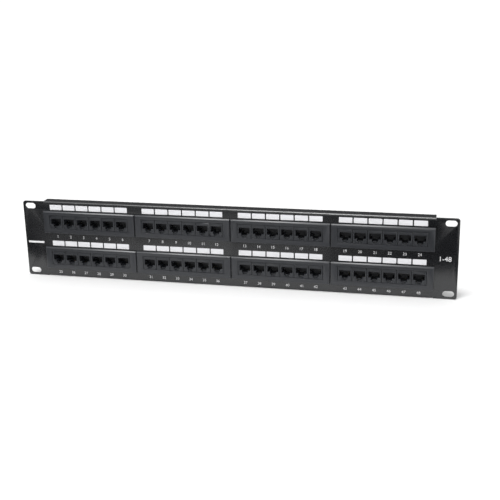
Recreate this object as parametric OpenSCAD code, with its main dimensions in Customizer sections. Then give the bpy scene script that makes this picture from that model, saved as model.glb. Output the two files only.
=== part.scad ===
// Patch panel for a 19-inch rack, two rack units high, with 48 modular sockets in eight port modules.
// X runs to the right as seen from the front, Y runs back into the rack and Z runs up.
// The origin is the centre of the four rack slots, on the rear face of the ears.

/* [Face plate] */
// Width of the plate over both rack ears
plate_w = 482.6; // [482:0.1:483]
// Height of the plate
plate_h = 87.4; // [87:0.1:88.9]
// Thickness of the sheet steel
plate_t = 1.5; // [1.2:0.1:2]
// Radius of the plate's four corners
corner_r = 3; // [1:0.5:4]
// Width of the folded flanges, between the ears
flange_w = 434; // [430:1:438]
// Depth of the flanges, from the plate's front face
flange_d = 12.5; // [8:0.5:14]
// Outer radius of the fold
fold_r = 2.5; // [2:0.1:3]
// Width of the relief cut at each end of a fold
relief_w = 0.1; // [0.1:0.1:1.5]

/* [Rack slots] */
// Distance between the two slot columns
slot_dx = 465.1; // [464:0.1:466]
// Distance between the two slot rows
slot_dz = 76.2; // [76:0.1:76.4]
// Length of a slot, end to end
slot_l = 12; // [9:0.5:13]
// Width of a slot
slot_w = 6.5; // [6.3:0.1:7.5]

/* [Port layout] */
// Distance between port modules along a row
module_dx = 108.8; // [108.6:0.1:109]
// Height of the upper row's centre line above the origin
upper_z = 20.3; // [19.8:0.1:20.5]
// Distance between the two rows
row_dz = 41.9; // [41.8:0.1:42.4]
// Distance between ports in a module
port_dx = 15.5; // [15.4:0.05:15.6]

/* [Port frame] */
// Width of the bezel
bezel_w = 107.9; // [107.5:0.1:108.2]
// Height of the bezel
bezel_h = 25.4; // [25:0.1:25.8]
// How far the bezel stands in front of the plate
bezel_t = 2.5; // [2:0.1:3]
// Chamfer along the bezel's top edge
bezel_top_chamfer = 1.3; // [0.8:0.1:1.6]
// Chamfer along the bezel's other edges
bezel_chamfer = 0.6; // [0.3:0.1:0.8]
// Height of the bezel's window
window_h = 15.6; // [15.5:0.1:16]
// Height of the window's centre above the bezel's centre
window_z = 0.25; // [0:0.05:0.4]
// Wall thickness of the collar behind the bezel
collar_t = 1.5; // [1.2:0.1:1.8]
// How far the collar reaches behind the plate
collar_back = 5.5; // [4:0.5:8]

/* [Jack] */
// Width of a jack housing
jack_w = 15.1; // [15:0.05:15.2]
// Height of a jack housing
jack_h = 15.3; // [15.2:0.05:15.4]
// How far the housing sits behind the bezel's front face
jack_recess = 0.3; // [0:0.1:1]
// Width of the plug opening
plug_w = 12; // [11.8:0.1:12.1]
// Height of the plug opening
plug_h = 6.6; // [6.5:0.1:6.8]
// Top of the plug opening above the row's centre line
plug_top = 4.1; // [3.9:0.1:4.2]
// Depth of the plug opening
plug_d = 12.5; // [12:0.1:13]
// Width of the slot for the plug's latch
latch_w = 6.6; // [6.4:0.1:6.8]
// Height of the slot for the plug's latch
latch_h = 2.5; // [2.2:0.1:2.6]
// Width of the notch for the latch's lever
lever_w = 4.5; // [4:0.1:5]
// Height of the notch for the latch's lever
lever_h = 2; // [1.6:0.1:2]

/* [Contacts] */
// Distance between the contact wires of a jack
wire_dx = 1.02; // [1:0.01:1.04]
// Width of a contact wire
wire_w = 0.46; // [0.4:0.02:0.5]
// Thickness of a contact wire
wire_t = 0.36; // [0.3:0.02:0.4]

/* [Circuit board] */
// Width of the board
board_w = 104.6; // [104:0.1:105]
// Height of the board
board_h = 39.4; // [39:0.1:40]
// Thickness of the board
board_t = 1.6; // [1.5:0.1:1.7]
// Front face of the board behind the plate's rear face
board_y = 11.5; // [11.5:0.1:12]

/* [Punch-down blocks] */
// Distance between wire positions
idc_dx = 3.9; // [3.85:0.05:3.9]
// Depth of a block, from the board to its tall fins
block_d = 14; // [13:0.5:15]
// Height of a block
block_h = 10.4; // [10:0.1:11]
// Distance of each block row from the module's centre line
block_z = 13.2; // [13:0.1:13.5]

/* [Labels] */
// Width of a white write-on label
label_w = 14.1; // [13.8:0.1:14.4]
// Height of a white write-on label
label_h = 5.75; // [5.5:0.05:6]
// Height of a label's centre above its row's centre line
label_z = 16.95; // [16.8:0.05:17.1]
// Radius of a label's corners
label_r = 0.5; // [0.3:0.1:1.5]

/* [Hidden] */
$fn = 48;
EPS = 0.01;
NUMBERS = [for (n = [1:8]) n];

columns = 4;
ports = 6;
positions = 8;          // wires of one port, and wire positions of one block
plate_front = -plate_t;
bezel_front = plate_front - bezel_t;
jack_front = bezel_front + jack_recess;
window_w = ports * port_dx + 0.3;

// the frame goes through a cut-out in the plate with this clearance on each side
cutout_gap = 0.2;
collar_w = 103;
collar_h = window_h + 2 * collar_t;

// module screws: one at each corner post of the frame, through the board
post_x = 49.4;
post_z = 6.2;
post_w = 4;
post_h = 6;
pilot_r = 0.95;
pilot_d = 8;
screw_r = 0.9;
screw_l = 7;
head_r = 2;
head_t = 1.5;
cross_l = 2.2;
cross_w = 0.5;
cross_d = 0.8;
board_hole_r = 1.25;

// snap hooks on the collar, which hold the frame against the plate
hook_x = 31;
hook_w = 7;
hook_rise = 0.9;
hook_y = 0.05;
hook_l = 2.6;
slit_w = 0.8;

// the jack's own hollows
lever_d = 2.6;
comb_w = 8.6;
comb_z = 7;
comb_y = jack_front + 1.4;
cavity_back = jack_front + plug_d;

// a contact wire's centre line from its soldered root forward, as [y, z]
wire_root = [board_y - 0.05, 4.7];
wire_line = [wire_root, [8.2, 4.7], [2.6, 2.35], [-1.7, 4.6]];

// punch-down block: a base with fins, and a slot at each position that holds a contact blade;
// every second fin is taller and ends in a ridge, to part the pairs
fin_short = 1.6;
ridge_w = 0.6;
slot_floor = 4.5;
idc_slot_w = 1.5;
idc_w = 1.4;
idc_t = 0.45;
idc_top = 11.4;
idc_slit_w = 0.4;
idc_slit_d = 5;
idc_mouth_d = 1;
block_end = 0.15;
block_w = positions * idc_dx - 2 * block_end;
blocks_in_row = 3;

sticker_t = 0.12;
strip_h = 2.8;
strip_z = 6.5;

/* Shapes used by several pieces */

function module_x(n) = ((n - 1) % columns - (columns - 1) / 2) * module_dx;
function module_z(n) = n <= columns ? upper_z : upper_z - row_dz;
function port_x(k) = (k - (ports - 1) / 2) * port_dx;

// puts its children at module n's centre line
module at_module(n) translate([module_x(n), 0, module_z(n)]) children();

// a flat outline drawn in X and Z, from y = back forward by t
module upright(t, back) translate([0, back, 0]) rotate([90, 0, 0]) linear_extrude(t) children();

// an outline drawn in Y and Z, extruded along X and centred
module along_x(w) rotate([90, 0, 90]) translate([0, 0, -w / 2]) linear_extrude(w) children();

module rounded_rect(w, h, r) {
    square([w - 2 * r, h], center = true);
    square([w, h - 2 * r], center = true);
    for (sx = [-1, 1], sz = [-1, 1]) translate([sx * (w / 2 - r), sz * (h / 2 - r)]) circle(r);
}

// a block with its corner at the lowest x, y and z
module block_from(x0, x1, y0, y1, z0, z1) translate([x0, y0, z0]) cube([x1 - x0, y1 - y0, z1 - z0]);

/* Face plate */

module rack_slots() {
    run = slot_l - slot_w;
    for (sx = [-1, 1], sz = [-1, 1]) translate([sx * slot_dx / 2, sz * slot_dz / 2]) {
        square([run, slot_w], center = true);
        for (e = [-1, 1]) translate([e * run / 2, 0]) circle(slot_w / 2);
    }
}

module plate_outline() {
    fold_strip = fold_r + EPS;
    difference() {
        rounded_rect(plate_w, plate_h, corner_r);
        for (s = [-1, 1]) translate([0, s * (plate_h / 2 - fold_strip / 2 + EPS)])
            square([flange_w + 2 * relief_w, fold_strip + 2 * EPS], center = true);
        rack_slots();
        for (n = NUMBERS) translate([module_x(n), module_z(n) + window_z])
            square([collar_w + 2 * cutout_gap, collar_h + 2 * cutout_gap], center = true);
    }
}

// section of the top flange with its fold, in Y and Z
module flange_outline() {
    top = plate_h / 2;
    fold_y = plate_front + fold_r;
    fold_z = top - fold_r;
    translate([fold_y, top - plate_t]) square([flange_d - fold_r, plate_t]);
    translate([plate_front, fold_z - 2 * EPS]) square([plate_t, 3 * EPS]);
    intersection() {
        translate([fold_y, fold_z]) difference() {
            circle(fold_r);
            circle(fold_r - plate_t);
        }
        translate([plate_front, fold_z]) square(fold_r);
    }
}

module face_plate() color([0.13, 0.13, 0.14]) {
    upright(plate_t, 0) plate_outline();
    along_x(flange_w) flange_outline();
    mirror([0, 0, 1]) along_x(flange_w) flange_outline();
}

module port_labels() color([0.93, 0.93, 0.94])
    for (n = NUMBERS, k = [0:ports - 1])
        translate([module_x(n) + port_x(k), 0, module_z(n) + label_z])
            upright(sticker_t, plate_front) rounded_rect(label_w, label_h, label_r);

/* Port module: frame, jacks, contacts, board, punch-down blocks */

module bezel() intersection() {
    h = bezel_h / 2;
    w = bezel_w / 2;
    along_x(bezel_w) polygon([
        [plate_front, -h], [bezel_front + bezel_chamfer, -h], [bezel_front, -h + bezel_chamfer],
        [bezel_front, h - bezel_top_chamfer], [bezel_front + bezel_top_chamfer, h], [plate_front, h]
    ]);
    translate([0, 0, -h]) linear_extrude(bezel_h) polygon([
        [-w, plate_front], [-w, bezel_front + bezel_chamfer], [-w + bezel_chamfer, bezel_front],
        [w - bezel_chamfer, bezel_front], [w, bezel_front + bezel_chamfer], [w, plate_front]
    ]);
}

// a hook's section on the upper collar wall: steep towards the plate, sloping towards the rear
module snap_hook(x, side) {
    top = collar_h / 2;
    translate([x, 0, window_z]) mirror([0, 0, side < 0 ? 1 : 0]) along_x(hook_w) polygon([
        [hook_y, top - EPS], [hook_y, top + hook_rise], [hook_y + 0.5, top + hook_rise],
        [hook_y + hook_l, top - EPS]
    ]);
}

module port_frame(n) color([0.17, 0.17, 0.18]) at_module(n) difference() {
    union() {
        bezel();
        translate([0, 0, window_z]) block_from(-collar_w / 2, collar_w / 2,
            plate_front - EPS, collar_back, -collar_h / 2, collar_h / 2);
        for (sx = [-1, 1], sz = [-1, 1]) translate([sx * post_x, 0, window_z + sz * post_z])
            block_from(-post_w / 2, post_w / 2, 0, board_y, -post_h / 2, post_h / 2);
        for (x = [-hook_x, 0, hook_x], side = [-1, 1]) snap_hook(x, side);
    }
    translate([0, 0, window_z])
        block_from(-window_w / 2, window_w / 2, bezel_front - 1, board_y + 1, -window_h / 2, window_h / 2);
    // slits that let the hooked tongues bend
    for (x = [-hook_x, 0, hook_x], e = [-1, 1])
        translate([x + e * (hook_w + slit_w) / 2, 0, window_z])
            block_from(-slit_w / 2, slit_w / 2, hook_y, collar_back + 1, -collar_h, collar_h);
    for (sx = [-1, 1], sz = [-1, 1]) translate([sx * post_x, board_y, window_z + sz * post_z])
        rotate([90, 0, 0]) translate([0, 0, -1]) cylinder(r = pilot_r, h = pilot_d + 1);
}

module jack_housing() difference() {
    plug_floor = plug_top - plug_h;
    latch_floor = plug_floor - latch_h;
    translate([0, 0, window_z])
        block_from(-jack_w / 2, jack_w / 2, jack_front, board_y, -jack_h / 2, jack_h / 2);
    block_from(-plug_w / 2, plug_w / 2, jack_front - 1, cavity_back, plug_floor, plug_top);
    block_from(-latch_w / 2, latch_w / 2, jack_front - 1, cavity_back, latch_floor, plug_floor + EPS);
    block_from(-lever_w / 2, lever_w / 2, jack_front - 1, jack_front + lever_d,
        latch_floor - lever_h, latch_floor + EPS);
    // the comb pocket above the plug, open to the board, in which the contact wires rise
    block_from(-comb_w / 2, comb_w / 2, comb_y, board_y + 1, plug_top - EPS, comb_z);
}

module port_jacks(n) color([0.15, 0.15, 0.16]) at_module(n)
    for (k = [0:ports - 1]) translate([port_x(k), 0, 0]) jack_housing();

// the strip's outline: its centre line moved out by half a thickness, with mitred corners
function unit(v) = v / norm(v);
function left_of(d) = [-d[1], d[0]];
function corner_shift(line, i) = let(
    last = len(line) - 1,
    d0 = unit(line[max(i, 1)] - line[max(i, 1) - 1]),
    d1 = unit(line[min(i, last - 1) + 1] - line[min(i, last - 1)]),
    bisector = unit(left_of(d0) + left_of(d1))
) bisector / (bisector * left_of(d0));
function strip_outline(line, t) = concat(
    [for (i = [0:len(line) - 1]) line[i] + corner_shift(line, i) * t / 2],
    [for (i = [len(line) - 1:-1:0]) line[i] - corner_shift(line, i) * t / 2]
);

module jack_contacts(n) color([0.85, 0.68, 0.3]) at_module(n)
    for (k = [0:ports - 1], i = [0:positions - 1])
        translate([port_x(k) + (i - (positions - 1) / 2) * wire_dx, 0, 0])
            along_x(wire_w) polygon(strip_outline(wire_line, wire_t));

module circuit_board(n) color([0.05, 0.3, 0.16]) at_module(n)
    upright(board_t, board_y + board_t) translate([0, window_z]) difference() {
        square([board_w, board_h], center = true);
        for (sx = [-1, 1], sz = [-1, 1]) translate([sx * post_x, sz * post_z]) circle(board_hole_r);
    }

// a fin's crest, from the end of one slot to the start of the next, as [x, y] points
function fin_crest(i) = let(
    x0 = i == 0 ? 0 : i * idc_dx - block_end - (idc_dx - idc_slot_w) / 2,
    x1 = i == positions ? block_w : i * idc_dx - block_end + (idc_dx - idc_slot_w) / 2,
    mid = (x0 + x1) / 2,
    shoulder = block_d - fin_short
) i % 2 == 1 ? [[x0, shoulder], [x1, shoulder]] :
    [[x0, shoulder], [mid - ridge_w / 2, block_d], [mid + ridge_w / 2, block_d], [x1, shoulder]];

// the slot after fin i, as [x, y] points of its floor
function slot_points(i) = let(x = (i + 0.5) * idc_dx - block_end) i == positions ? [] :
    [[x - idc_slot_w / 2, slot_floor], [x + idc_slot_w / 2, slot_floor]];

module punchdown_block() translate([-block_w / 2, board_y + board_t, -block_h / 2])
    linear_extrude(block_h) polygon(concat(
        [[0, 0]],
        [for (i = [0:positions]) each concat(fin_crest(i), slot_points(i))],
        [[block_w, 0]]
    ));

function block_x(b) = (b - (blocks_in_row - 1) / 2) * positions * idc_dx;

module punchdown_blocks(n) color([0.16, 0.16, 0.17]) at_module(n)
    for (s = [-1, 1], b = [0:blocks_in_row - 1])
        translate([block_x(b), 0, window_z + s * block_z]) punchdown_block();

// a forked blade: a wire pushed into its slit is gripped between two sharp edges
module idc_blade() {
    root = board_y + board_t + slot_floor;
    top = board_y + board_t + idc_top;
    slit = idc_slit_w / 2;
    translate([0, 0, -idc_t / 2]) linear_extrude(idc_t) polygon([
        [-idc_w / 2, root], [idc_w / 2, root], [idc_w / 2, top], [slit, top - idc_mouth_d],
        [slit, top - idc_slit_d], [-slit, top - idc_slit_d], [-slit, top - idc_mouth_d], [-idc_w / 2, top]
    ]);
}

module idc_contacts(n) color([0.8, 0.8, 0.78]) at_module(n)
    for (s = [-1, 1], b = [0:blocks_in_row - 1], i = [0:positions - 1])
        translate([block_x(b) + (i - (positions - 1) / 2) * idc_dx, 0, window_z + s * block_z]) idc_blade();

module wiring_labels(n) color([0.9, 0.9, 0.88]) at_module(n)
    for (s = [-1, 1]) translate([0, 0, window_z + s * strip_z])
        upright(sticker_t, board_y + board_t + sticker_t)
            square([blocks_in_row * positions * idc_dx, strip_h], center = true);

/* Module screws */

module module_screw() rotate([90, 0, 0]) {
    translate([0, 0, -EPS]) cylinder(r = screw_r, h = screw_l + EPS);
    difference() {
        translate([0, 0, -head_t]) cylinder(r = head_r, h = head_t);
        for (a = [0, 90]) rotate([0, 0, a]) block_from(-cross_l / 2, cross_l / 2,
            -cross_w / 2, cross_w / 2, -head_t - EPS, cross_d - head_t);
    }
}

module module_screws() color([0.7, 0.7, 0.72])
    for (n = NUMBERS) at_module(n) for (sx = [-1, 1], sz = [-1, 1])
        translate([sx * post_x, board_y + board_t, window_z + sz * post_z]) module_screw();

face_plate();
port_labels();
module_screws();
for (n = NUMBERS) {
    port_frame(n);
    port_jacks(n);
    jack_contacts(n);
    circuit_board(n);
    punchdown_blocks(n);
    idc_contacts(n);
    wiring_labels(n);
}
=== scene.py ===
import math

import bmesh
import bpy
from mathutils import Matrix, Vector


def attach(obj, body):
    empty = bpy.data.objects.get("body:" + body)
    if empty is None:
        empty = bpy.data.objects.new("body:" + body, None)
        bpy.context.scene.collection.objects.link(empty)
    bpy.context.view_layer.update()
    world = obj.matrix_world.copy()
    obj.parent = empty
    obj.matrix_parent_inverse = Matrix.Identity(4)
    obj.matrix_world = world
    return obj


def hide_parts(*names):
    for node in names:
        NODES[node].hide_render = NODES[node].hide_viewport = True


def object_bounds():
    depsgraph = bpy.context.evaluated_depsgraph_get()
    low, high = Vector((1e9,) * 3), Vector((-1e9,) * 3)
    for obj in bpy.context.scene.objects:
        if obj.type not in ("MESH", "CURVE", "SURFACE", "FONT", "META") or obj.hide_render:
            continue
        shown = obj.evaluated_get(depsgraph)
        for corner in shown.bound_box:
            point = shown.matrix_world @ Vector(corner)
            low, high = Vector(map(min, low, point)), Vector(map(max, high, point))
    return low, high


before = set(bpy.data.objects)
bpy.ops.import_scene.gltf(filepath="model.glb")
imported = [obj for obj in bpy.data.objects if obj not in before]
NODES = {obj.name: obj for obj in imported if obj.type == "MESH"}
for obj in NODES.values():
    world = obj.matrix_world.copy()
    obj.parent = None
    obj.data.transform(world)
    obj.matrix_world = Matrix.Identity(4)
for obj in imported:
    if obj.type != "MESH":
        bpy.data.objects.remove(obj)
cad_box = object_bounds()
scene = bpy.context.scene
MM = 0.001

# ---------------------------------------------------------------- the panel's layout, in millimetres
MODULES = range(1, 9)
PORTS = 6
WIRES = 8
MODULE_DX = 108.8
UPPER_Z, LOWER_Z = 20.3, -21.6
PORT_DX = 15.5
WINDOW_Z = 0.25
PLATE_FRONT = -1.5
JACK_FRONT = -3.7
BOARD_FRONT, BOARD_REAR = 11.5, 13.1
BLOCK_Z = 13.2
IDC_DX = 3.9
STRIP_Z = 6.5
STRIP_H = 2.8
WIRE_DX = 1.02
ROOT_Y, ROOT_Z = 11.45, 4.7
FLANGE_END, EAR_START, RELIEF_Z = 216.9, 217.2, 41.0
INK_T = 0.015
NUMBER_H, NUMBER_Z = 3.0, -16.95
RANGE_H, RANGE_X = 5.2, 228.4
BAR_X0, BAR_X1, BAR_Z, BAR_H = -238.4, -219.4, -4.2, 2.2


def module_at(n):
    """Centre line of module n: x and z."""
    return ((n - 1) % 4 - 1.5) * MODULE_DX, UPPER_Z if n <= 4 else LOWER_Z


def port_x(k):
    return (k - (PORTS - 1) / 2) * PORT_DX


def wire_x(i):
    """Spring wire i, from the middle of its port."""
    return (i - (WIRES - 1) / 2) * WIRE_DX


def block_x(b):
    return (b - 1) * WIRES * IDC_DX


def blade_x(i):
    """Contact blade i, from the middle of its block."""
    return (i - (WIRES - 1) / 2) * IDC_DX


# ---------------------------------------------------------------- materials
def surface(name, colour, roughness, grain, relief, tone=0.06, spread=0.06, metallic=0.0,
            specular=0.5, coat=0.0, edge_wear_and_highlight=0.0, edge=0.25):
    """A material with fine grain in its relief and roughness, and slow changes of tone.

    grain is the size of the grain and relief its depth, in millimetres. The wear weight lightens the edges:
    partly wear, partly a painted edge highlight.
    """
    m = bpy.data.materials.new(name)
    m.use_nodes = True
    tree = m.node_tree
    shader = tree.nodes["Principled BSDF"]
    shader.inputs["Metallic"].default_value = metallic
    shader.inputs["Specular IOR Level"].default_value = specular
    shader.inputs["Coat Weight"].default_value = coat
    shader.inputs["Coat Roughness"].default_value = 0.15

    def node(kind, **inputs):
        made = tree.nodes.new(kind)
        for key, value in inputs.items():
            made.inputs[key.replace("_", " ")].default_value = value
        return made

    def link(a, out, b, into):
        tree.links.new(a.outputs[out], b.inputs[into])

    place = node("ShaderNodeTexCoord")
    fine = node("ShaderNodeTexNoise", Scale=1000 / grain, Detail=3.0, Roughness=0.6)
    broad = node("ShaderNodeTexNoise", Scale=35.0, Detail=4.0, Roughness=0.55)
    link(place, "Object", fine, "Vector")
    link(place, "Object", broad, "Vector")

    tint = node("ShaderNodeMix")
    tint.data_type = "RGBA"
    tint.inputs["A"].default_value = (*[c * (1 - tone) for c in colour], 1)
    tint.inputs["B"].default_value = (*[min(1, c * (1 + tone)) for c in colour], 1)
    tree.links.new(broad.outputs["Fac"], tint.inputs["Factor"])
    last = tint.outputs["Result"]
    # edges found by the bevel are lightened: partly wear, partly a painted edge highlight
    if edge_wear_and_highlight:
        rounded = node("ShaderNodeBevel", Radius=edge * MM)
        rounded.samples = 4
        facing = node("ShaderNodeNewGeometry")
        dot = node("ShaderNodeVectorMath")
        dot.operation = "DOT_PRODUCT"
        tree.links.new(rounded.outputs["Normal"], dot.inputs[0])
        tree.links.new(facing.outputs["Normal"], dot.inputs[1])
        edges = node("ShaderNodeMapRange", From_Min=0.99, From_Max=0.8, To_Min=0.0, To_Max=edge_wear_and_highlight)
        tree.links.new(dot.outputs["Value"], edges.inputs["Value"])
        worn_and_highlit_edges = node("ShaderNodeMix")
        worn_and_highlit_edges.data_type = "RGBA"
        worn_and_highlit_edges.inputs["B"].default_value = (*[min(1, c * 3 + 0.06) for c in colour], 1)
        tree.links.new(edges.outputs["Result"], worn_and_highlit_edges.inputs["Factor"])
        tree.links.new(last, worn_and_highlit_edges.inputs["A"])
        last = worn_and_highlit_edges.outputs["Result"]
    tree.links.new(last, shader.inputs["Base Color"])

    rough = node("ShaderNodeMapRange", To_Min=roughness - spread, To_Max=roughness + spread)
    link(fine, "Fac", rough, "Value")
    link(rough, "Result", shader, "Roughness")
    bump = node("ShaderNodeBump", Strength=1.0, Distance=relief * MM)
    link(fine, "Fac", bump, "Height")
    link(bump, "Normal", shader, "Normal")
    return m


# the edge lightening on the powder coat and the plastics is partly wear, partly a painted edge highlight
POWDER = surface("black_powder_coat", (0.0036, 0.0044, 0.0062), 0.27, 0.55, 0.006, tone=0.12, spread=0.04,
                 specular=0.9, edge_wear_and_highlight=0.15, edge=0.3)
FRAME = surface("bezel_plastic", (0.0255, 0.0278, 0.0328), 0.34, 0.35, 0.005, tone=0.08, specular=0.6,
                edge_wear_and_highlight=0.12, edge=0.25)
JACK = surface("jack_plastic", (0.0238, 0.0260, 0.0308), 0.38, 0.3, 0.005, tone=0.08, specular=0.5,
               edge_wear_and_highlight=0.12, edge=0.2)
BLOCK = surface("block_plastic", (0.020, 0.020, 0.022), 0.45, 0.3, 0.008, tone=0.1, edge_wear_and_highlight=0.3, edge=0.2)
BOARD = surface("solder_mask", (0.008, 0.10, 0.045), 0.28, 1.2, 0.004, tone=0.1, coat=0.3)
TRACK = surface("masked_track", (0.012, 0.17, 0.075), 0.25, 0.8, 0.003, tone=0.08, coat=0.3)
GOLD = surface("gold_plate", (0.83, 0.58, 0.20), 0.24, 0.12, 0.0015, tone=0.05, metallic=1.0)
TIN = surface("tin_plate", (0.70, 0.70, 0.69), 0.33, 0.2, 0.003, tone=0.06, metallic=1.0)
SOLDER = surface("solder", (0.62, 0.63, 0.64), 0.25, 0.5, 0.006, tone=0.08, metallic=1.0)
ZINC = surface("zinc_plate", (0.55, 0.56, 0.58), 0.32, 0.25, 0.004, tone=0.08, metallic=1.0)
PAPER = surface("label_paper", (0.83, 0.83, 0.855), 0.55, 0.25, 0.006, tone=0.03, specular=0.3)
STRIP = surface("strip_paper", (0.72, 0.72, 0.70), 0.6, 0.25, 0.006, tone=0.04, specular=0.3)
INK = surface("white_ink", (0.85, 0.85, 0.86), 0.6, 0.12, 0.003, tone=0.15, specular=0.3)
WIRE_COLOURS = [surface(f"wire_{name}", colour, 0.55, 0.3, 0.004, tone=0.04, specular=0.3)
                for name, colour in (("blue", (0.02, 0.09, 0.45)), ("orange", (0.72, 0.20, 0.02)),
                                     ("green", (0.02, 0.30, 0.06)), ("brown", (0.16, 0.06, 0.02)))]


# ---------------------------------------------------------------- pieces
def piece(name, mesh, materials, body="panel", stands_for=()):
    obj = bpy.data.objects.new(name, mesh)
    scene.collection.objects.link(obj)
    for m in materials:
        mesh.materials.append(m)
    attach(obj, body)
    if stands_for:
        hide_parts(*stands_for)
    return obj


def mesh_from(bm, name):
    bmesh.ops.recalc_face_normals(bm, faces=bm.faces)
    mesh = bpy.data.meshes.new(name)
    bm.to_mesh(mesh)
    bm.free()
    return mesh


SHARP = math.radians(30)
SAME_POINT = 0.0005
SAME_PLANE = math.radians(0.4)


def in_front_of(y):
    """Chooses edges whose ends are both in front of y, in millimetres."""
    return lambda edge: all(v.co.y < y * MM for v in edge.verts)


def clear_of(x0, x1, z0):
    """Chooses edges that don't lie where |x| is between x0 and x1 and |z| is over z0, in millimetres."""
    def inside(v):
        return x0 * MM < abs(v.co.x) < x1 * MM and abs(v.co.z) > z0 * MM
    return lambda edge: not all(inside(v) for v in edge.verts)


def softened(node, name, width, material, segments=2, chosen=None):
    """A copy of a CAD node with its sharp edges, or the chosen ones, rounded by width in millimetres."""
    bm = bmesh.new()
    bm.from_mesh(NODES[node].data)
    bmesh.ops.remove_doubles(bm, verts=bm.verts, dist=SAME_POINT * MM)
    bmesh.ops.dissolve_limit(bm, angle_limit=SAME_PLANE, verts=bm.verts, edges=bm.edges, delimit={"NORMAL"})
    for f in bm.faces:
        f.smooth = True
    if chosen:
        weight = bm.edges.layers.float.new("bevel_weight_edge")
        for edge in bm.edges:
            sharp = edge.is_manifold and edge.calc_face_angle() > SHARP
            edge[weight] = float(sharp and chosen(edge))
            edge.smooth = not sharp or chosen(edge)
    mesh = bpy.data.meshes.new(name)
    bm.to_mesh(mesh)
    bm.free()
    obj = piece(name, mesh, [material], stands_for=[node])
    edges = obj.modifiers.new("rounded_edges", "BEVEL")
    edges.width = width * MM
    edges.segments = segments
    edges.limit_method = "WEIGHT" if chosen else "ANGLE"
    edges.angle_limit = SHARP
    edges.harden_normals = True
    edges.use_clamp_overlap = False
    return obj


def add_box(bm, low, high, taper=0.0, slot=0):
    """A box between two corners in millimetres; taper narrows its low-z end along x."""
    (x0, y0, z0), (x1, y1, z1) = low, high
    inner = [(x0 + taper, y0, z0), (x1 - taper, y0, z0), (x1 - taper, y1, z0), (x0 + taper, y1, z0)]
    outer = [(x0, y0, z1), (x1, y0, z1), (x1, y1, z1), (x0, y1, z1)]
    v = [bm.verts.new(Vector(p) * MM) for p in inner + outer]
    for loop in ((3, 2, 1, 0), (4, 5, 6, 7), (0, 1, 5, 4), (1, 2, 6, 5), (2, 3, 7, 6), (3, 0, 4, 7)):
        bm.faces.new([v[i] for i in loop]).material_index = slot


def add_dome(bm, centre, radius, height, facing, sides=12, rings=4):
    """A solder fillet: a low dome on a board, facing +1 or -1 along y. Sizes in millimetres."""
    cx, cy, cz = centre
    loops = []
    for r in range(rings):
        turn = r / rings * math.pi / 2
        rad, rise = radius * math.cos(turn) ** 1.4, height * math.sin(turn)
        y = cy + facing * rise
        loops.append([bm.verts.new(Vector((cx + rad * math.cos(a), y, cz + rad * math.sin(a))) * MM)
                      for a in (2 * math.pi * i / sides for i in range(sides))])
    tip = bm.verts.new(Vector((cx, cy + facing * height, cz)) * MM)
    for low, high in zip(loops, loops[1:]):
        for i in range(sides):
            j = (i + 1) % sides
            bm.faces.new((low[i], low[j], high[j], high[i])).smooth = True
    for i in range(sides):
        bm.faces.new((loops[-1][i], loops[-1][(i + 1) % sides], tip)).smooth = True
    bm.faces.new(loops[0])


def strip_corners(line, width):
    """Both sides of a mitred strip along a flat line of (x, z) points."""
    left, right = [], []
    for i, p in enumerate(line):
        before = Vector(line[max(i, 1)]) - Vector(line[max(i, 1) - 1])
        after = Vector(line[min(i, len(line) - 2) + 1]) - Vector(line[min(i, len(line) - 2)])
        normal = Vector((-before.y, before.x)).normalized() + Vector((-after.y, after.x)).normalized()
        normal.normalize()
        reach = width / 2 / normal.dot(Vector((-before.y, before.x)).normalized())
        left.append(Vector(p) + normal * reach)
        right.append(Vector(p) - normal * reach)
    return left, right


def add_track(bm, line, width, y0, y1):
    """A closed raised strip from y0 to y1 along a line of (x, z) points."""
    left, right = strip_corners(line, width)
    rings = []
    for a, b in zip(left, right):
        rings.append([bm.verts.new(Vector(p) * MM) for p in
                      ((a.x, y0, a.y), (b.x, y0, b.y), (b.x, y1, b.y), (a.x, y1, a.y))])
    for r, s in zip(rings, rings[1:]):
        for i in range(4):
            bm.faces.new((r[i], r[(i + 1) % 4], s[(i + 1) % 4], s[i]))
    bm.faces.new(rings[0])
    bm.faces.new(rings[-1][::-1])


def rounded_line(points, radius, steps=4):
    """A line of (y, z) points with its corners turned into arcs."""
    out = [Vector(points[0])]
    for a, b, c in zip(points, points[1:], points[2:]):
        a, b, c = Vector(a), Vector(b), Vector(c)
        into, away = (a - b).normalized(), (c - b).normalized()
        half = math.acos(max(-1, min(1, into.dot(away)))) / 2
        cut = min(radius / math.tan(half), (a - b).length * 0.45, (c - b).length * 0.45)
        p, q = b + into * cut, b + away * cut
        for i in range(steps + 1):
            t = i / steps
            out.append((p * (1 - t) ** 2) + (b * 2 * t * (1 - t)) + (q * t * t))
    out.append(Vector(points[-1]))
    return out


def add_wire(bm, x, line, half_w, half_t, shift):
    """A spring wire with rounded edges along a (y, z) line; shift is its module's (x, z)."""
    upper = [(half_w, half_t * 0.45), (half_w * 0.55, half_t),
             (-half_w * 0.55, half_t), (-half_w, half_t * 0.45)]
    profile = upper + [(w, -t) for w, t in reversed(upper)]
    rings = []
    for i, p in enumerate(line):
        d = (line[min(i + 1, len(line) - 1)] - line[max(i - 1, 0)]).normalized()
        up = Vector((-d.y, d.x))
        rings.append([bm.verts.new(Vector((shift[0] + x + w, p.x + up.x * t, shift[1] + p.y + up.y * t)) * MM)
                      for w, t in profile])
    sides = len(profile)
    for r, s in zip(rings, rings[1:]):
        for i in range(sides):
            bm.faces.new((r[i], r[(i + 1) % sides], s[(i + 1) % sides], s[i])).smooth = True
    bm.faces.new(rings[0])
    bm.faces.new(rings[-1][::-1])


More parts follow.
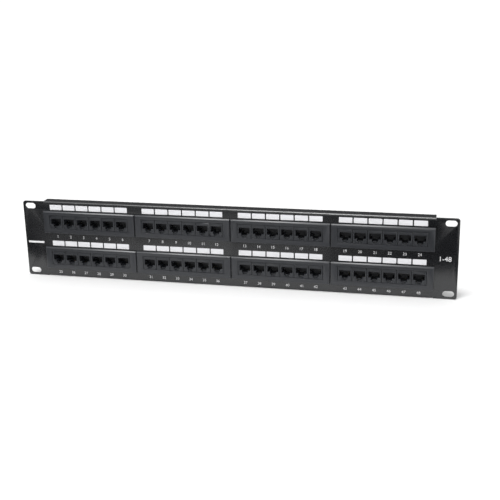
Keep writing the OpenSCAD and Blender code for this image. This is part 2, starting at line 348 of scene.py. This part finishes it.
# plate, bezels and housings with their edges rounded, except in the plate's bend reliefs and on the
# hidden collars of the port frames, where the rounding has no room
softened("face_plate", "plate_skin", 0.15, POWDER, segments=3,
         chosen=clear_of(FLANGE_END, EAR_START, RELIEF_Z))
for n in MODULES:
    softened(f"port_frame_{n}", f"frame_skin_{n}", 0.18, FRAME, chosen=in_front_of(-1.0))
    softened(f"port_jacks_{n}", f"jack_skin_{n}", 0.16, JACK)
    softened(f"punchdown_blocks_{n}", f"block_skin_{n}", 0.12, BLOCK)
softened("module_screws", "screw_skin", 0.22, ZINC, segments=3)


def paint(node, material):
    NODES[node].data.materials.clear()
    NODES[node].data.materials.append(material)


# the CAD nodes that keep their own shape
for n in MODULES:
    paint(f"circuit_board_{n}", BOARD)
    paint(f"idc_contacts_{n}", TIN)
    paint(f"wiring_labels_{n}", STRIP)
paint("port_labels", PAPER)

# spring wires, which ride on their module's moving body
WIRE_HALF_W, WIRE_HALF_T, WIRE_BEND = 0.23, 0.18, 1.1
WIRE_LINE = rounded_line([(ROOT_Y, ROOT_Z), (8.2, ROOT_Z), (2.6, 2.35), (-1.7, 4.6)], WIRE_BEND)
for n in MODULES:
    bm = bmesh.new()
    for k in range(PORTS):
        for i in range(WIRES):
            add_wire(bm, port_x(k) + wire_x(i), WIRE_LINE, WIRE_HALF_W, WIRE_HALF_T, module_at(n))
    piece(f"wire_skin_{n}", mesh_from(bm, f"wire_skin_{n}"), [GOLD], f"contacts_{n}",
          [f"jack_contacts_{n}"])

# comb ribs between the wires, in the pocket above each plug opening
RIB_HALF_W, RIB_TAPER = 0.15, 0.05
RIB_Y0, RIB_Y1, RIB_Z0, RIB_Z1 = JACK_FRONT + 1.4, 4.5, 5.0, 7.0
for n in MODULES:
    mx, mz = module_at(n)
    bm = bmesh.new()
    for k in range(PORTS):
        for i in range(WIRES - 1):
            x = mx + port_x(k) + wire_x(i + 0.5)
            add_box(bm, (x - RIB_HALF_W, RIB_Y0, mz + RIB_Z0), (x + RIB_HALF_W, RIB_Y1, mz + RIB_Z1),
                    RIB_TAPER)
    piece(f"comb_{n}", mesh_from(bm, f"comb_{n}"), [JACK])

# rear of the boards: soldered pins, tracks to the lower blocks, and colours on the wiring strips
PIN_R, PIN_H = 0.42, 0.5
BLADE_R, BLADE_H = 0.7, 0.6
TRACK_W, TRACK_T = 0.3, 0.035
TRACK_TOP, TRACK_LEVEL, TRACK_STEP, TRACK_LOW, TRACK_BEND = 4.3, 2.2, 0.75, -5.0, 0.3
COLOUR_Y0, COLOUR_Y1 = BOARD_REAR + 0.12, BOARD_REAR + 0.15
COLOUR_HALF_W = IDC_DX / 2 - 0.25
COLOUR_HALF_H = STRIP_H / 2 - 0.35
STRIPE_HALF_W, STRIPE_OFF = COLOUR_HALF_W * 0.3, COLOUR_HALF_W * 0.7
for n in MODULES:
    mx, mz = module_at(n)
    solder, tracks, colours = bmesh.new(), bmesh.new(), bmesh.new()
    for k in range(PORTS):
        for i in range(WIRES):
            add_dome(solder, (mx + port_x(k) + wire_x(i), BOARD_REAR, mz + ROOT_Z), PIN_R, PIN_H, 1)
    for side in (-1, 1):
        for b in range(3):
            for i in range(WIRES):
                x = mx + block_x(b) + blade_x(i)
                add_dome(solder, (x, BOARD_FRONT, mz + WINDOW_Z + side * BLOCK_Z), BLADE_R, BLADE_H, -1)
    for b in range(3):
        for i in range(WIRES):
            start = port_x(2 * b + 1) + wire_x(i)
            end = block_x(b) + blade_x(i)
            level = TRACK_LEVEL - TRACK_STEP * (i if end < start else 0)
            turn = math.copysign(min(TRACK_BEND, abs(end - start) * 0.45), end - start)
            path = [(start, TRACK_TOP), (start, level + TRACK_BEND), (start + turn, level),
                    (end - turn, level), (end, level - TRACK_BEND), (end, TRACK_LOW)]
            path = [(mx + x, mz + z) for x, z in path]
            add_track(tracks, path, TRACK_W, BOARD_REAR, BOARD_REAR + TRACK_T)
    for side in (-1, 1):
        for b in range(3):
            for i in range(WIRES):
                x = mx + block_x(b) + blade_x(i)
                z = mz + WINDOW_Z + side * STRIP_Z
                pair, plain = i // 2, i % 2
                stripes = [(x - STRIPE_OFF, STRIPE_HALF_W), (x + STRIPE_OFF, STRIPE_HALF_W)]
                for c, half in [(x, COLOUR_HALF_W)] if plain else stripes:
                    add_box(colours, (c - half, COLOUR_Y0, z - COLOUR_HALF_H),
                            (c + half, COLOUR_Y1, z + COLOUR_HALF_H), slot=pair)
    piece(f"solder_{n}", mesh_from(solder, f"solder_{n}"), [SOLDER])
    piece(f"tracks_{n}", mesh_from(tracks, f"tracks_{n}"), [TRACK])
    piece(f"strip_colours_{n}", mesh_from(colours, f"strip_colours_{n}"), WIRE_COLOURS)


# ---------------------------------------------------------------- printing
def text_mesh(words, height):
    """Flat lettering of the given height, in millimetres, centred on its middle and facing the front."""
    curve = bpy.data.curves.new("lettering", "FONT")
    curve.body = words
    curve.align_x = "CENTER"
    curve.extrude = curve_half_t = 0.004
    curve.resolution_u = 6
    holder = bpy.data.objects.new("lettering", curve)
    scene.collection.objects.link(holder)
    bpy.context.view_layer.update()
    made = bpy.data.meshes.new_from_object(holder.evaluated_get(bpy.context.evaluated_depsgraph_get()))
    bpy.data.objects.remove(holder)
    ys = [v.co.y for v in made.vertices]
    xs = [v.co.x for v in made.vertices]
    grow = height * MM / (max(ys) - min(ys))
    made.transform(Matrix.Translation((-(max(xs) + min(xs)) / 2, -(max(ys) + min(ys)) / 2, 0)))
    made.transform(Matrix.Diagonal((grow, grow, INK_T * MM / (2 * curve_half_t), 1)))
    made.transform(Matrix.Rotation(math.pi / 2, 4, "X"))
    return made


printing = bmesh.new()


def print_on_plate(made, x, z):
    made.transform(Matrix.Translation(Vector((x, PLATE_FRONT - INK_T / 2, z)) * MM))
    printing.from_mesh(made)
    bpy.data.meshes.remove(made)


for n in MODULES:
    mx, mz = module_at(n)
    for k in range(PORTS):
        print_on_plate(text_mesh(str((n - 1) * PORTS + k + 1), NUMBER_H), mx + port_x(k), mz + NUMBER_Z)
print_on_plate(text_mesh("1-48", RANGE_H), RANGE_X, 0)
add_track(printing, [(BAR_X0, BAR_Z), (BAR_X1, BAR_Z)], BAR_H, PLATE_FRONT - INK_T, PLATE_FRONT)
bmesh.ops.remove_doubles(printing, verts=printing.verts, dist=0.0001 * MM)
piece("plate_printing", mesh_from(printing, "plate_printing"), [INK])

# ---------------------------------------------------------------- floor, light and camera
# from here on in metres
FLOOR_HALF, FLOOR_GAP = 30, 0.0001
CARD_HALF, CARD_FAR, CARD_RISE = 1.2, -0.96, 0.002
CARD_NEAR_LEFT, CARD_NEAR_RIGHT = -0.001, -0.103


def staged(name, bm, z):
    """A flat piece of the stage at height z."""
    mesh = bpy.data.meshes.new(name)
    bm.to_mesh(mesh)
    bm.free()
    obj = bpy.data.objects.new(name, mesh)
    obj.location.z = z
    scene.collection.objects.link(obj)
    return obj


bm = bmesh.new()
bmesh.ops.create_grid(bm, x_segments=8, y_segments=8, size=FLOOR_HALF)
floor = staged("floor", bm, cad_box[0].z - FLOOR_GAP)
PALE = surface("pale_floor", (0.93, 0.93, 0.93), 0.7, 40.0, 0.0, tone=0.01, specular=0.2)
floor.data.materials.append(PALE)

# a card that only reflections see, lying in front of the panel: black, with two soft patches of light
bm = bmesh.new()
corners = ((-CARD_HALF, CARD_FAR), (CARD_HALF, CARD_FAR),
           (CARD_HALF, CARD_NEAR_RIGHT), (-CARD_HALF, CARD_NEAR_LEFT))
bm.faces.new([bm.verts.new((x, y, 0)) for x, y in corners])
card = staged("reflected_card", bm, floor.location.z + CARD_RISE)
card.visible_camera = card.visible_diffuse = card.visible_shadow = card.visible_transmission = False

glow = bpy.data.materials.new("card_glow")
glow.use_nodes = True
glow_tree = glow.node_tree
glow_tree.nodes.remove(glow_tree.nodes["Principled BSDF"])
emission = glow_tree.nodes.new("ShaderNodeEmission")
where = glow_tree.nodes.new("ShaderNodeTexCoord")
axes = glow_tree.nodes.new("ShaderNodeSeparateXYZ")
glow_tree.links.new(where.outputs["Object"], axes.inputs["Vector"])


def grey(level):
    return level, level, level, 1


def level_along(axis, stops):
    """Brightness along one axis of the card, from (metres, level) stops."""
    first, last = stops[0][0], stops[-1][0]
    across = glow_tree.nodes.new("ShaderNodeMapRange")
    across.inputs["From Min"].default_value = first
    across.inputs["From Max"].default_value = last
    glow_tree.links.new(axes.outputs[axis], across.inputs["Value"])
    ramp = glow_tree.nodes.new("ShaderNodeValToRGB")
    ramp.color_ramp.interpolation = "EASE"
    elements = ramp.color_ramp.elements
    elements[0].color = grey(stops[0][1])
    elements[1].color = grey(stops[-1][1])
    for metres, level in stops[1:-1]:
        elements.new((metres - first) / (last - first)).color = grey(level)
    glow_tree.links.new(across.outputs["Result"], ramp.inputs["Fac"])
    return ramp.outputs["Color"]


def combined(how, a, b):
    mix = glow_tree.nodes.new("ShaderNodeMix")
    mix.data_type = "RGBA"
    mix.blend_type = how
    mix.inputs["Factor"].default_value = 1.0
    glow_tree.links.new(a, mix.inputs["A"])
    glow_tree.links.new(b, mix.inputs["B"])
    return mix.outputs["Result"]


def glow_patch(along, outward):
    """A soft patch of light: its brightness along X times its brightness along Y."""
    return combined("MULTIPLY", level_along("X", along), level_along("Y", outward))


middle = glow_patch(
    ((-0.30, 0.0), (-0.24, 0.15), (-0.17, 0.7), (-0.10, 1.0), (0.02, 0.72), (0.12, 0.22), (0.2, 0.03)),
    ((-0.7, 0.0), (-0.33, 0.02), (-0.27, 0.30), (-0.21, 0.85), (-0.16, 1.0), (-0.05, 0.95)))
left = glow_patch(
    ((-0.5, 0.0), (-0.36, 0.25), (-0.28, 0.7), (-0.20, 0.2), (-0.12, 0.0)),
    ((-0.6, 0.0), (-0.33, 0.03), (-0.24, 0.5), (-0.17, 1.0), (-0.10, 0.05), (-0.06, 0.0)))
glow_tree.links.new(combined("ADD", middle, left), emission.inputs["Color"])
glow_tree.links.new(emission.outputs["Emission"], glow_tree.nodes["Material Output"].inputs["Surface"])
card.data.materials.append(glow)

# the studio around: bright at the horizon and overhead, dark between
world = bpy.data.worlds.new("studio")
scene.world = world
world.use_nodes = True
sky = world.node_tree
around = sky.nodes.new("ShaderNodeTexCoord")
split = sky.nodes.new("ShaderNodeSeparateXYZ")
height = sky.nodes.new("ShaderNodeValToRGB")
stops = height.color_ramp.elements
stops[0].position, stops[0].color = 0.02, grey(1)
stops[1].position, stops[1].color = 0.85, grey(1.2)
for place, level in ((0.10, 0.10), (0.5, 0.15)):
    stops.new(place).color = grey(level)
sky.links.new(around.outputs["Generated"], split.inputs["Vector"])
sky.links.new(split.outputs["Z"], height.inputs["Fac"])
sky.links.new(height.outputs["Color"], sky.nodes["Background"].inputs["Color"])


def sun(name, towards, power, spread):
    """A sun that shines in the direction towards, spread degrees wide."""
    light = bpy.data.lights.new(name, "SUN")
    light.energy = power
    light.angle = math.radians(spread)
    obj = bpy.data.objects.new(name, light)
    obj.rotation_mode = "QUATERNION"
    obj.rotation_quaternion = Vector(towards).to_track_quat("-Z", "Y")
    scene.collection.objects.link(obj)


sun("soft_overhead", (0.15, 0.29, -0.94), 1.6, 18)
sun("soft_front", (-0.2, 0.93, -0.30), 0.5, 60)

camera = bpy.data.cameras.new("camera")
camera.sensor_width = 36
camera.lens = 65.959
camera.clip_end = 100
view = bpy.data.objects.new("camera", camera)
view.location = (0.24003, -0.92088, 0.29436)
view.rotation_euler = [math.radians(angle) for angle in (72.642, 1.055, 13.056)]
scene.collection.objects.link(view)
scene.camera = view
scene.view_settings.view_transform = "Standard"
